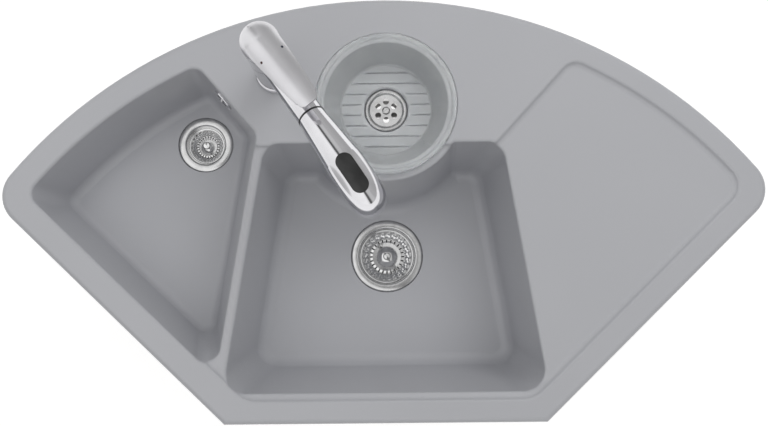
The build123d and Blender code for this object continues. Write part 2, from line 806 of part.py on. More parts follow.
shank_low = -56.0
with BuildPart() as tap_shank:
    turn(((12.5, shank_low), (16.4, shank_low), (16.4, 30), (12.5, 30)), tap_at)
keep(tap_shank, "tap_shank")

inlet_apart = 12.8
with BuildPart() as tap_inlet_block:
    disc(at_tap(0, shank_low), 12.45, 14)
    for t in (-inlet_apart / 2, inlet_apart / 2):
        disc(at_tap(-2, shank_low - 1, t), 4.2, 12, mode=Mode.SUBTRACT)
    disc(at_tap(7.2, shank_low - 1), 3.4, 20, mode=Mode.SUBTRACT)
keep(tap_inlet_block, "tap_inlet_block")

clamp_h = -rim_top - deck_under
with BuildPart() as tap_fibre_washer:
    turn(((tap_hole, clamp_h), (26, clamp_h), (26, clamp_h - 2), (tap_hole, clamp_h - 2)), tap_at)
keep(tap_fibre_washer, "tap_fibre_washer")

with BuildPart() as tap_clamp_plate:
    with BuildSketch(level(clamp_h - 2)):
        Circle(26)
        Circle(tap_hole, mode=Mode.SUBTRACT)
        with Locations((20, 0)):
            Rectangle(16, 14, mode=Mode.SUBTRACT)
    extrude(amount=-3)
keep(tap_clamp_plate, "tap_clamp_plate")

with BuildPart() as tap_nut:
    with BuildSketch(level(clamp_h - 5)):
        RegularPolygon(25.5, 6)
        Circle(16.45, mode=Mode.SUBTRACT)
    extrude(amount=-10)
keep(tap_nut, "tap_nut")

bearing_in, bearing_out = neck_r + 0.1, body_r - 1.0
with BuildPart() as lower_bearing:
    turn(
        (
            (bearing_in, shoulder_h), (bearing_out, shoulder_h),
            (bearing_out, shoulder_h + 1.2), (bearing_in, shoulder_h + 1.2),
        ),
        tap_at,
    )
keep(lower_bearing, "lower_bearing")

spout_low = shoulder_h + 1.5
spout_high = ring_h - 1.4
spout_r = 18.0
spout_bore = 15.0
seam_along = seam_s / cos(rise)
dock_thick = 2.4
with BuildPart() as spout:
    turn(((0, spout_low), (body_r, spout_low), (body_r, spout_high), (0, spout_high)), tap_at)
    with BuildSketch(along(8)):
        Circle(spout_r)
    extrude(amount=seam_along - dock_thick - 8)
    joint_edges = spout.edges().filter_by(
        lambda e: e.geom_type not in (GeomType.CIRCLE, GeomType.LINE) and e.length > 30
    )
    fillet(joint_edges, 2.5)
    disc(at_tap(0, spout_low - 1), neck_r + running, spout_high - spout_low + 2, mode=Mode.SUBTRACT)
    with BuildSketch(along(10)):
        Circle(spout_bore)
    extrude(amount=seam_along, mode=Mode.SUBTRACT)
keep(spout, "spout")

with BuildPart() as dock_ring:
    with BuildSketch(along(seam_along - dock_thick)):
        Circle(spout_r + 0.2)
        Circle(spout_bore, mode=Mode.SUBTRACT)
    extrude(amount=dock_thick)
keep(dock_ring, "dock_ring")

with BuildPart() as upper_bearing:
    bearing_h = ring_h - 1.1
    turn(
        (
            (bearing_in, bearing_h), (bearing_out, bearing_h),
            (bearing_out, ring_h), (bearing_in, ring_h),
        ),
        tap_at,
    )
keep(upper_bearing, "upper_bearing")

with BuildPart() as tap_top_ring:
    turn(
        (
            (neck_r + 0.02, ring_h), (body_r, ring_h), (body_r, ring_top_h - 1.5), (body_r - 1.5, ring_top_h),
            (neck_r - 0.1, ring_top_h), (neck_r - 0.1, neck_top), (neck_r + 0.02, neck_top),
        ),
        tap_at,
    )
keep(tap_top_ring, "tap_top_ring")

with BuildPart() as cartridge:
    turn(
        (
            (0, liner_h + 0.2), (17.4, liner_h + 0.2), (17.4, neck_top), (19.6, neck_top), (19.6, nut_h),
            (14.5, nut_h), (14.5, nut_h + 8), (11.6, nut_h + 8), (11.6, nut_h), (0, nut_h),
        ),
        tap_at,
    )
keep(cartridge, "cartridge")

with BuildPart() as cartridge_nut:
    turn(((14.8, nut_h), (19.85, nut_h), (19.85, ring_top_h), (14.8, ring_top_h)), tap_at)
    with BuildSketch(level(nut_h + 2)):
        with PolarLocations(19, 4):
            Rectangle(5, 3)
    extrude(amount=3, mode=Mode.SUBTRACT)
keep(cartridge_nut, "cartridge_nut")

# the turning and lifting parts of the lever
hinge_h = ring_top_h + 6.0
stem_low = hinge_h - 4.8
stem_top = hinge_h + 19.0
pin_r = 1.5
pin_long = 20.0
stem_wide = 7.0
with BuildPart() as turret:
    disc(at_tap(0, nut_h + 0.3), 11.2, 14.7)
    with BuildSketch(level(ring_top_h, lever_dir)):
        Rectangle(40, stem_wide + 0.8)
    extrude(amount=20, mode=Mode.SUBTRACT)
    with BuildSketch(across_lever(-20)):
        Circle(pin_r)
    extrude(amount=40, mode=Mode.SUBTRACT)
keep(turret, "turret")

with BuildPart() as lever_pin:
    with BuildSketch(across_lever(-pin_long / 2)):
        Circle(pin_r)
    extrude(amount=pin_long)
keep(lever_pin, "lever_pin")

with BuildPart() as lever_stem:
    with BuildSketch(level(stem_low, lever_dir)):
        Rectangle(stem_wide, stem_wide)
    extrude(amount=stem_top - stem_low)
    with BuildSketch(across_lever(-20)):
        Circle(pin_r + running)
    extrude(amount=40, mode=Mode.SUBTRACT)
keep(lever_stem, "lever_stem")

# ---- the lever ----
dome_r = 25.5
dome_in = 22.0
cap_gap = 0.3
lift = 20.0
rest_low = -11.3  # the dome's lower rim lies this many degrees below its centre in front
lever_tip_s = 106.0
lever_tip_half = 13.8
lever_low = 8.0  # the paddle's underside over the dome's centre
lever_rise = 11.0  # the underside climbs by this many degrees towards the tip
dome_solid = 14.0  # above this height over the hinge the dome is solid, around the stem's socket
# distance ahead, half width, crest over the hinge, and the upright sides' share of the thickness
lever_stations = (
    (0.0, 23.8, 25.3, 0.06),
    (52.0, 19.8, 31.6, 0.40),
    (lever_tip_s, lever_tip_half, 36.6, 0.42),
)


def lever_section(s, half, crest, side_share):
    """A cross-section of the lever: flat below, short sides and an arched top."""
    low = lever_low + s * tan(radians(lever_rise))
    edge = low + (crest - low) * side_share
    with BuildSketch(ahead_lever(s, hinge_h)) as section:
        with BuildLine():
            Polyline((-half, edge), (-half, low), (half, low), (half, edge))
            ThreePointArc((half, edge), (0, crest), (-half, edge))
        make_face()
    return section.sketch


def ball(radius, mode=Mode.ADD):
    with BuildSketch(lever_plane) as half_disc:
        with BuildLine():
            Line((0, hinge_h + radius), (0, hinge_h - radius))
            ThreePointArc((0, hinge_h - radius), (radius, hinge_h), (0, hinge_h + radius))
        make_face()
    revolve(half_disc.sketch, axis=Axis(tap_at, (0, 0, 1)), mode=mode)


with BuildPart() as dome_space:
    ball(dome_in)
    with BuildSketch(level(hinge_h + dome_solid)):
        Circle(dome_r)
    extrude(amount=20, mode=Mode.SUBTRACT)

screw_h = hinge_h + 16.5
lever_screw_r = 1.8
dot_s, dot_t, dot_h, dot_tilt = 28.0, 16.0, 23.6, 36.5
dot_r, dot_deep = 1.65, 1.4
dot_planes = []
for side in (-1, 1):
    tilt = radians(dot_tilt) * side
    outward = tuple(sin(tilt) * a + cos(tilt) * b for a, b in zip(lever_side, (0, 0, 1)))
    dot_at = at_lever(dot_s, hinge_h + dot_h, dot_t * side)
    dot_planes.append(Plane(origin=dot_at, x_dir=lever_dir, z_dir=outward))

with BuildPart() as lever:
    ball(dome_r)
    # the paddle grows out of the dome and is thinner and narrower at its tip
    loft([lever_section(*station) for station in lever_stations])
    # round the tip's corners in plan
    with BuildSketch(level(hinge_h, lever_dir)):
        with Locations((lever_tip_s, 0)):
            Rectangle(20, 2 * lever_tip_half + 6)
        with Locations((lever_tip_s - 10, 0)):
            RectangleRounded(20, 2 * lever_tip_half - 0.6, 8, mode=Mode.SUBTRACT)
            with Locations((-5, 0)):
                Rectangle(11, 2 * lever_tip_half + 8, mode=Mode.SUBTRACT)
    extrude(amount=50, mode=Mode.SUBTRACT)
    add(dome_space.part, mode=Mode.SUBTRACT)
    # the dome's lower rim, cut so that the back has room to swing down
    front_turn, back_turn = radians(rest_low), radians(rest_low + lift)
    low_front = (dome_r * cos(front_turn), hinge_h + dome_r * sin(front_turn))
    low_back = (-dome_r * cos(back_turn), hinge_h + dome_r * sin(back_turn))
    with BuildSketch(lever_plane):
        with BuildLine():
            Polyline(
                (low_front[0] + 12, low_front[1] - 2.1), low_front,
                low_back, (low_back[0] - 12, low_back[1] + 2.1),
                (low_back[0] - 12, hinge_h - 60), (low_front[0] + 12, hinge_h - 60),
                close=True,
            )
        make_face()
    extrude(amount=40, both=True, mode=Mode.SUBTRACT)
    # the boss and socket for the stem, and the screw that holds it
    disc(at_tap(0, hinge_h + 10), 7.5, dome_solid - 10 + 1)
    with BuildSketch(level(hinge_h + 9, lever_dir)):
        Rectangle(stem_wide + 0.06, stem_wide + 0.06)
    extrude(amount=stem_top - hinge_h - 9, mode=Mode.SUBTRACT)
    with BuildSketch(ahead_lever(-30, screw_h)):
        Circle(lever_screw_r + 0.05)
    extrude(amount=27, mode=Mode.SUBTRACT)
    for dot_plane in dot_planes:
        with BuildSketch(dot_plane.offset(-dot_deep)):
            Circle(dot_r + 0.05)
        extrude(amount=4, mode=Mode.SUBTRACT)
keep(lever, "lever")

with BuildPart() as lever_screw:
    with BuildSketch(ahead_lever(-12, screw_h)):
        Circle(lever_screw_r)
    extrude(amount=8.5)
    with BuildSketch(ahead_lever(-12.5, screw_h)):
        RegularPolygon(1.0, 6)
    extrude(amount=3, mode=Mode.SUBTRACT)
keep(lever_screw, "lever_screw")

for label, dot_plane in zip(("hot_dot", "cold_dot"), dot_planes):
    with BuildPart() as dot:
        with BuildSketch(dot_plane.offset(-dot_deep)):
            Circle(dot_r)
        extrude(amount=dot_deep + 0.2)
    keep(dot, label)

with BuildPart() as cartridge_cap:
    ball(dome_in - cap_gap)
    ball(dome_in - cap_gap - 1.3, mode=Mode.SUBTRACT)
    with BuildSketch(level(hinge_h + 6)):
        Circle(dome_r)
    extrude(amount=30, mode=Mode.SUBTRACT)
    with BuildSketch(level(ring_top_h)):
        Circle(dome_r)
    extrude(amount=-30, mode=Mode.SUBTRACT)
keep(cartridge_cap, "cartridge_cap")

# ---- the pull-out spray ----
spray_gap = 0.3  # between the spray and its dock ring
bend_s = 188.0
bend_r = 34.0
nose_angle = -80.0
nose_straight = 20.0
spray_wall = 3.0
bend_h = spout_h + bend_s * tan(rise)
bend_centre = (bend_s + bend_r * sin(rise), bend_h - bend_r * cos(rise))


def bend(angle, further=0.0):
    """A plane square to the spray where it points at angle, moved on by further."""
    a = radians(angle)
    s = bend_centre[0] - bend_r * sin(a) + further * cos(a)
    h = bend_centre[1] + bend_r * cos(a) + further * sin(a)
    ahead = tuple(cos(a) * d + sin(a) * z for d, z in zip(spout_dir, (0, 0, 1)))
    return Plane(origin=at_tap(s, h), x_dir=side_dir, z_dir=ahead)


seam = seam_along + spray_gap
spray_r = 18.0  # at the dock ring
head_r = 24.0  # round the bend
nose_r = 23.0


def ring_sketch(plane, radius):
    with BuildSketch(plane) as circle:
        Circle(radius)
    return circle.sketch


def spray_form(grow, start=0.0, further=0.0):
    """The outer form of the spray, grown by grow: a slim cone, a bend and a short nose."""
    with BuildPart(mode=Mode.PRIVATE) as form:
        loft([ring_sketch(along(seam + start), spray_r + grow), ring_sketch(bend(spout_rise), head_r + grow)])
        revolve(
            ring_sketch(bend(spout_rise), head_r + grow),
            axis=Axis(at_tap(*bend_centre), side_dir),
            revolution_arc=spout_rise - nose_angle,
        )
        loft(
            [
                ring_sketch(bend(nose_angle), head_r + grow),
                ring_sketch(bend(nose_angle, nose_straight + further), nose_r + grow),
            ]
        )
    return form.part


button_s, button_long, button_wide = 205.0, 53.0, 21.0
button_floor = spout_h + 68.0  # the button and its opening are cut above this height
button_fit = 0.4
button_proud = 1.0
button_deep = 3.5
button_travel = 1.5

with BuildPart() as spray_shell:
    add(spray_form(0))
    add(spray_form(-spray_wall, spray_wall, 1), mode=Mode.SUBTRACT)
    with BuildSketch(along(seam - 22)):
        Circle(spout_bore - running)
    extrude(amount=23)
    with BuildSketch(along(seam - 23)):
        Circle(12)
    extrude(amount=30, mode=Mode.SUBTRACT)
    with BuildSketch(level(button_floor)):
        with Locations((button_s, 0)):
            SlotOverall(button_long + 2 * button_fit, button_wide + 2 * button_fit)
    extrude(amount=60, mode=Mode.SUBTRACT)
keep(spray_shell, "spray_shell")

with BuildPart() as spray_button:
    with BuildSketch(level(button_floor)):
        with Locations((button_s, 0)):
            SlotOverall(button_long, button_wide)
    extrude(amount=60)
    add(spray_form(button_proud), mode=Mode.INTERSECT)
    add(spray_form(-button_deep, 0, 1), mode=Mode.SUBTRACT)
keep(spray_button, "spray_button")

nose_end = bend(nose_angle, nose_straight)
face_r = nose_r - spray_wall
face_bore = 8.0
aerator_r = 7.95
with BuildPart() as spray_face:
    with BuildSketch(nose_end.offset(-1.2)):
        Circle(face_r)
        Circle(face_bore, mode=Mode.SUBTRACT)
        with PolarLocations((face_bore + face_r) / 2, 16):
            Circle(1.0, mode=Mode.SUBTRACT)
    extrude(amount=-3)
keep(spray_face, "spray_face")

with BuildPart() as aerator:
    with BuildSketch(nose_end.offset(-0.6)):
        Circle(aerator_r)
        Circle(6.2, mode=Mode.SUBTRACT)
    extrude(amount=-5)
    with BuildSketch(nose_end.offset(-2)):
        Circle(6.3)
        with GridLocations(2.6, 2.6, 3, 3):
            Rectangle(1.6, 1.6, mode=Mode.SUBTRACT)
    extrude(amount=-1.5)
keep(aerator, "aerator")

hose_r = 6.0
with BuildPart() as hose_nut:
    with BuildSketch(along(seam - 21)):
        Circle(11.9)
        Circle(hose_r + 0.05, mode=Mode.SUBTRACT)
    extrude(amount=14)
keep(hose_nut, "hose_nut")

with BuildPart() as spray_hose:
    with BuildSketch(along(8)):
        Circle(hose_r)
        Circle(hose_r - 2, mode=Mode.SUBTRACT)
    extrude(amount=seam - 8)
keep(spray_hose, "spray_hose")
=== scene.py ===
from math import atan2, cos, pi, radians, sin

import bmesh
import bpy
from mathutils import Matrix, Vector


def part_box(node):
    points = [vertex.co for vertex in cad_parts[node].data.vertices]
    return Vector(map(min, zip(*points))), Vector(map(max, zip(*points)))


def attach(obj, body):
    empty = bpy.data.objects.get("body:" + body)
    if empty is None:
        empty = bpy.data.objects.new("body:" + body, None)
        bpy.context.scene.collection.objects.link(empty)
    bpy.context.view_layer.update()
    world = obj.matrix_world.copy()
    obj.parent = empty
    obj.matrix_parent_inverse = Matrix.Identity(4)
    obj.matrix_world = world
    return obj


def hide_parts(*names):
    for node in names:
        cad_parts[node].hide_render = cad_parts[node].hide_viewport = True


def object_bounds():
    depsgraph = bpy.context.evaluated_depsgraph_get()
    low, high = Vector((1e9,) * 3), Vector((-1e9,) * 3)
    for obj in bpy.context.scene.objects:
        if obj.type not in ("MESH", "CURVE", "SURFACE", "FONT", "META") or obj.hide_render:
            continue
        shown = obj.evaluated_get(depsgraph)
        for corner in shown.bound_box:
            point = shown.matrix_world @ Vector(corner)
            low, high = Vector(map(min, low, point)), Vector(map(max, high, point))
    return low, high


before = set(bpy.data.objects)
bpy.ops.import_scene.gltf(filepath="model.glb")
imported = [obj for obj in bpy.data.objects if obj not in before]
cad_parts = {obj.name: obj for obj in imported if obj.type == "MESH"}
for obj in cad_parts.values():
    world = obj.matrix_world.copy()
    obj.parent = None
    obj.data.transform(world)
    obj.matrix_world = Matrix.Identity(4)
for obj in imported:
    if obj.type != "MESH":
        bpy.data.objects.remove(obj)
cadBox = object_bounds()
print("frame loaded:", len(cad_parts), "nodes")

camera = {
    "place": (0.0, 0.156, 1.504),
    "sensor": 36.0,
    "lens": 49.9,
    "tip": 4.67,  # degrees forward from straight down
    "roll": -0.55,
}
studio = {
    "floorColour": (0.93, 0.93, 0.93),
    "floorRoughness": 0.9,
    "floorSize": 14.0,
    "floorDrop": 0.002,  # below the lowest piece
    "floorGlow": 0.78,  # light of its own that the camera and mirrors see
    "floorShade": 0.50,  # how much of its colour answers to the lamps there
    "worldLevel": 0.35,  # what the surroundings give the object
    "backdrop": (1.0, 1.0, 1.0),
}
lamps = {
    "above": {"place": (0.0, 0.45, 2.2), "size": 4.0, "power": 24.0},
    "key": {"place": (0.9, 1.7, 1.9), "size": 1.2, "power": 11.0},
}
lampAim = (0.0, 0.25, 0.0)
dome = {
    "middle": (-0.10, 0.35, 0.15),
    "radius": 2.6,  # a grey dome that only the metal and the glaze mirror
    "segments": 48,
    "turn": -56.0,  # its bands run along the spout
    "bands": [  # how far a direction leans across the spout, brightness there
        (-1.0, 0.52), (-0.94, 0.60), (-0.86, 1.02), (-0.20, 1.12), (-0.11, 0.80), (-0.06, 0.13), (0.05, 0.12),
        (0.11, 0.50), (0.18, 0.66), (0.32, 0.64), (0.45, 0.52), (0.80, 0.46), (1.0, 0.54),
    ],
    # a bright patch near the top, which the flat flanges mirror; its reach in parts of the radius
    "patch": {"towards": (-0.10, 0.20, 0.975), "inner": 0.155, "outer": 0.225, "level": 0.98},
}


def mm(length):
    return length / 1000


def grey(level):
    return (level, level, level)


def asObject(mesh, name):
    data = bpy.data.meshes.new(name)
    mesh.to_mesh(data)
    mesh.free()
    made = bpy.data.objects.new(name, data)
    bpy.context.scene.collection.objects.link(made)
    return made


def newMaterial(name):
    material = bpy.data.materials.new(name)
    material.use_nodes = True
    nodes, links = material.node_tree.nodes, material.node_tree.links
    return material, nodes, links, nodes["Principled BSDF"]


def compute(nodes, links, operation, *values):
    # a Math node, each value a number or another node's output
    step = nodes.new("ShaderNodeMath")
    step.operation = operation
    for socket, value in zip(step.inputs, values):
        if isinstance(value, float):
            socket.default_value = value
        else:
            links.new(value, socket)
    return step.outputs[0]


def objectPlace(nodes, links, centre=(0.0, 0.0, 0.0), scale=(1.0, 1.0, 1.0)):
    # object coordinates, centred on a piece
    coordinates = nodes.new("ShaderNodeTexCoord")
    mapping = nodes.new("ShaderNodeMapping")
    mapping.inputs["Location"].default_value = tuple(-c * s for c, s in zip(centre, scale))
    mapping.inputs["Scale"].default_value = scale
    links.new(coordinates.outputs["Object"], mapping.inputs["Vector"])
    return mapping.outputs["Vector"]


def turnPlace(nodes, links, place, axis, degrees):
    turned = nodes.new("ShaderNodeVectorRotate")
    turned.rotation_type = f"{axis}_AXIS"
    turned.inputs["Angle"].default_value = radians(degrees)
    links.new(place, turned.inputs["Vector"])
    return turned.outputs["Vector"]


def split(nodes, links, place):
    parts = nodes.new("ShaderNodeSeparateXYZ")
    links.new(place, parts.inputs[0])
    return parts.outputs["X"], parts.outputs["Y"], parts.outputs["Z"]


def noise(nodes, links, place, scale, detail=3.0):
    texture = nodes.new("ShaderNodeTexNoise")
    texture.inputs["Scale"].default_value = scale
    texture.inputs["Detail"].default_value = detail
    links.new(place, texture.inputs["Vector"])
    return texture.outputs["Fac"]


def ramp(nodes, links, value, stops):
    # stops: (position, colour) pairs
    picked = nodes.new("ShaderNodeValToRGB")
    bar = picked.color_ramp
    bar.interpolation = "EASE"
    bar.elements[0].position, bar.elements[0].color = stops[0][0], (*stops[0][1], 1.0)
    bar.elements[1].position, bar.elements[1].color = stops[-1][0], (*stops[-1][1], 1.0)
    for position, colour in stops[1:-1]:
        bar.elements.new(position).color = (*colour, 1.0)
    links.new(value, picked.inputs["Fac"])
    return picked.outputs["Color"]


def twoTone(nodes, links, value, reach, first, last):
    return ramp(nodes, links, value, list(zip(reach, (first, last))))


def fade(nodes, links, value, start, end):
    # 0 where the value is at start, 1 at end
    faded = nodes.new("ShaderNodeMapRange")
    faded.inputs["From Min"].default_value = start
    faded.inputs["From Max"].default_value = end
    links.new(value, faded.inputs["Value"])
    return faded.outputs["Result"]


def spread(nodes, links, value, low, high):
    # a 0 to 1 pattern stretched to low to high
    stretched = nodes.new("ShaderNodeMapRange")
    stretched.inputs["To Min"].default_value = low
    stretched.inputs["To Max"].default_value = high
    links.new(value, stretched.inputs["Value"])
    return stretched.outputs["Result"]


def mixColours(nodes, links, amount, first, second):
    mixed = nodes.new("ShaderNodeMix")
    mixed.data_type = "RGBA"
    for socket, given in (("Factor", amount), ("A", first), ("B", second)):
        target = [s for s in mixed.inputs if s.name == socket and s.enabled][0]
        if isinstance(given, tuple):
            target.default_value = (*given, 1.0)
        else:
            links.new(given, target)
    return [s for s in mixed.outputs if s.enabled][0]


def bump(nodes, links, shader, height, strength, distance, below=None):
    bumped = nodes.new("ShaderNodeBump")
    bumped.inputs["Strength"].default_value = strength
    bumped.inputs["Distance"].default_value = distance
    links.new(height, bumped.inputs["Height"])
    if below is not None:
        links.new(below, bumped.inputs["Normal"])
    links.new(bumped.outputs["Normal"], shader.inputs["Normal"])
    return bumped.outputs["Normal"]


def middleOf(node):
    low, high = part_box(node)
    return (low + high) / 2


def topOf(node):
    low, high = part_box(node)
    return Vector(((low.x + high.x) / 2, (low.y + high.y) / 2, high.z))


def makeCamera():
    eye = bpy.data.cameras.new("camera")
    eye.lens = camera["lens"]
    eye.sensor_width = camera["sensor"]
    holder = bpy.data.objects.new("camera", eye)
    bpy.context.scene.collection.objects.link(holder)
    turned = Matrix.Rotation(radians(camera["tip"]), 4, "X") @ Matrix.Rotation(radians(camera["roll"]), 4, "Z")
    holder.matrix_world = Matrix.Translation(camera["place"]) @ turned
    bpy.context.scene.camera = holder


def seenDirectly(nodes, links):
    # 1 for camera, glossy and transmission rays, so metal and plastic show the same backdrop
    rays = nodes.new("ShaderNodeLightPath").outputs
    first = compute(nodes, links, "MAXIMUM", rays["Is Camera Ray"], rays["Is Glossy Ray"])
    return compute(nodes, links, "MAXIMUM", first, rays["Is Transmission Ray"])


def makeWorld():
    world = bpy.data.worlds.new("studio")
    world.use_nodes = True
    bpy.context.scene.world = world
    nodes, links = world.node_tree.nodes, world.node_tree.links
    nodes.clear()
    out = nodes.new("ShaderNodeOutputWorld")
    mix = nodes.new("ShaderNodeMixShader")
    light = nodes.new("ShaderNodeBackground")
    light.inputs["Color"].default_value = (*grey(1.0), 1.0)
    light.inputs["Strength"].default_value = studio["worldLevel"]
    backdrop = nodes.new("ShaderNodeBackground")
    backdrop.inputs["Color"].default_value = (*studio["backdrop"], 1.0)
    backdrop.inputs["Strength"].default_value = 1.0
    links.new(seenDirectly(nodes, links), mix.inputs["Fac"])
    links.new(light.outputs[0], mix.inputs[1])
    links.new(backdrop.outputs[0], mix.inputs[2])
    links.new(mix.outputs[0], out.inputs["Surface"])


def makeFloor():
    mesh = bmesh.new()
    bmesh.ops.create_grid(mesh, x_segments=1, y_segments=1, size=studio["floorSize"] / 2)
    bmesh.ops.translate(mesh, verts=mesh.verts, vec=(0, 0, cadBox[0].z - studio["floorDrop"]))
    floor = asObject(mesh, "floor")
    material, nodes, links, shader = newMaterial("floorWhite")
    shader.inputs["Base Color"].default_value = (*studio["floorColour"], 1.0)
    shader.inputs["Roughness"].default_value = studio["floorRoughness"]
    glow = nodes.new("ShaderNodeEmission")
    glow.inputs["Strength"].default_value = studio["floorGlow"]
    paler = nodes.new("ShaderNodeBsdfDiffuse")
    paler.inputs["Color"].default_value = (*grey(studio["floorShade"]), 1.0)
    both = nodes.new("ShaderNodeAddShader")
    pick = nodes.new("ShaderNodeMixShader")
    links.new(paler.outputs[0], both.inputs[0])
    links.new(glow.outputs[0], both.inputs[1])
    links.new(seenDirectly(nodes, links), pick.inputs["Fac"])
    links.new(shader.outputs[0], pick.inputs[1])
    links.new(both.outputs[0], pick.inputs[2])
    links.new(pick.outputs[0], nodes["Material Output"].inputs["Surface"])
    floor.data.materials.append(material)


def makeDome():
    size, patch = dome["radius"], dome["patch"]
    mesh = bmesh.new()
    bmesh.ops.create_uvsphere(mesh, u_segments=dome["segments"], v_segments=dome["segments"] // 2, radius=size)
    bmesh.ops.translate(mesh, verts=mesh.verts, vec=dome["middle"])
    shell = asObject(mesh, "greyDome")
    material, nodes, links, shader = newMaterial("greyDome")
    nodes.remove(shader)
    place = objectPlace(nodes, links, dome["middle"])
    across = split(nodes, links, turnPlace(nodes, links, place, "Z", -dome["turn"]))[1]
    stops = [(0.5 + lean / 2, grey(level)) for lean, level in dome["bands"]]
    banded = ramp(nodes, links, fade(nodes, links, across, -size, size), stops)
    away = nodes.new("ShaderNodeVectorMath")
    away.operation = "DISTANCE"
    away.inputs[1].default_value = tuple(part * size for part in patch["towards"])
    links.new(place, away.inputs[0])
    near = fade(nodes, links, away.outputs["Value"], patch["outer"] * size, patch["inner"] * size)
    glow = nodes.new("ShaderNodeEmission")
    links.new(mixColours(nodes, links, near, banded, grey(patch["level"])), glow.inputs["Color"])
    links.new(glow.outputs[0], nodes["Material Output"].inputs["Surface"])
    shell.data.materials.append(material)
    shell.visible_camera = False
    shell.visible_diffuse = False
    shell.visible_shadow = False
    shell.visible_transmission = False


def makeLamp(name):
    look = lamps[name]
    lamp = bpy.data.lights.new(name, "AREA")
    lamp.size = look["size"]
    lamp.energy = look["power"]
    holder = bpy.data.objects.new(name, lamp)
    bpy.context.scene.collection.objects.link(holder)
    holder.location = look["place"]
    aim = Vector(lampAim) - Vector(look["place"])
    holder.rotation_euler = aim.to_track_quat("-Z", "Y").to_euler()
    holder.visible_camera = False
    holder.visible_glossy = False


glaze = {
    "colour": (0.532, 0.538, 0.565),
    "paler": (0.548, 0.553, 0.580),
    "clouds": (0.15, 0.85),  # from where to where the colour turns paler
    "cloudScale": 5.0,  # waves per metre, as all scales here
    "fleck": (0.500, 0.505, 0.530),
    "flecks": (0.60, 0.74),
    "grainScale": 1400.0,
    "roughness": (0.27, 0.32),
    "orangePeel": 150.0,
    "peelStrength": 0.05,
    "coat": 0.12,
    "coatRoughness": 0.12,
    "clay": (0.62, 0.585, 0.53),  # the unglazed underside
    "clayDark": (0.50, 0.47, 0.43),
    "clayGrain": (0.3, 0.7),
    "clayScale": 420.0,
    "clayDuller": 0.5,
    "clayStrength": 0.5,
    "edge": (-0.010, -0.022),  # how far a surface faces down where the glaze ends
    "edgeScale": 60.0,
    "edgeWander": 0.03,
    "relief": 0.0004,
}


def makeGlazedCeramic():
    material, nodes, links, shader = newMaterial("glazedCeramic")
    place = objectPlace(nodes, links)
    clouds = noise(nodes, links, place, glaze["cloudScale"], 2.0)
    grain = noise(nodes, links, place, glaze["grainScale"], 2.0)
    body = twoTone(nodes, links, clouds, glaze["clouds"], glaze["colour"], glaze["paler"])
    flecks = twoTone(nodes, links, grain, glaze["flecks"], grey(0.0), grey(1.0))
    glazed = mixColours(nodes, links, flecks, body, glaze["fleck"])
    # bare clay where the surface faces down, below the rim
    upward = split(nodes, links, nodes.new("ShaderNodeTexCoord").outputs["Normal"])[2]
    wander = noise(nodes, links, place, glaze["edgeScale"])
    under = compute(nodes, links, "MULTIPLY_ADD", wander, glaze["edgeWander"], upward)
    bare = fade(nodes, links, under, *glaze["edge"])
    clayGrain = noise(nodes, links, place, glaze["clayScale"], 4.0)
    clay = twoTone(nodes, links, clayGrain, glaze["clayGrain"], glaze["clayDark"], glaze["clay"])
    links.new(mixColours(nodes, links, bare, glazed, clay), shader.inputs["Base Color"])
    shine = spread(nodes, links, clouds, *glaze["roughness"])
    dull = compute(nodes, links, "MULTIPLY_ADD", bare, glaze["clayDuller"], shine)
    links.new(dull, shader.inputs["Roughness"])
    peel = noise(nodes, links, place, glaze["orangePeel"], 1.0)
    soft = bump(nodes, links, shader, peel, glaze["peelStrength"], glaze["relief"])
    rough = compute(nodes, links, "MULTIPLY", clayGrain, bare)
    bump(nodes, links, shader, rough, glaze["clayStrength"], glaze["relief"], below=soft)
    shader.inputs["IOR"].default_value = 1.5
    shader.inputs["Coat Weight"].default_value = glaze["coat"]
    shader.inputs["Coat Roughness"].default_value = glaze["coatRoughness"]
    return material


chrome = {"colour": (0.74, 0.735, 0.755), "darker": (0.69, 0.685, 0.705), "roughness": (0.06, 0.12)}
satin = {"colour": (0.72, 0.715, 0.735), "darker": (0.68, 0.675, 0.695), "roughness": (0.36, 0.41)}
plating = {
    "film": (0.35, 0.62),
    "filmScale": 22.0,
    "smearScale": 70.0,
    "smearSquash": (1.0, 1.0, 6.0),
    "waveScale": 45.0,
    "waveStrength": 0.03,
    "wave": 0.0005,
}


def makeChromePlate(name, look):
    material, nodes, links, shader = newMaterial(name)
    place = objectPlace(nodes, links)
    film = noise(nodes, links, place, plating["filmScale"], 4.0)
    tone = twoTone(nodes, links, film, plating["film"], look["darker"], look["colour"])
    links.new(tone, shader.inputs["Base Color"])
    smear = noise(nodes, links, objectPlace(nodes, links, scale=plating["smearSquash"]), plating["smearScale"])
    links.new(spread(nodes, links, smear, *look["roughness"]), shader.inputs["Roughness"])
    waves = noise(nodes, links, place, plating["waveScale"], 1.0)
    bump(nodes, links, shader, waves, plating["waveStrength"], plating["wave"])
    shader.inputs["Metallic"].default_value = 1.0
    return material


# turned metals, with this many turning marks per metre
steel = {"colour": grey(0.70), "darker": grey(0.60), "roughness": (0.14, 0.30), "marks": 2600.0}
polished = {"colour": grey(0.78), "darker": grey(0.72), "roughness": (0.08, 0.17), "marks": 2600.0}
brass = {"colour": (0.80, 0.60, 0.30), "darker": (0.62, 0.44, 0.20), "roughness": (0.22, 0.36), "marks": 1800.0}
turning = {"film": (0.32, 0.60), "filmScale": 60.0, "strength": 0.06, "depth": 0.0002}


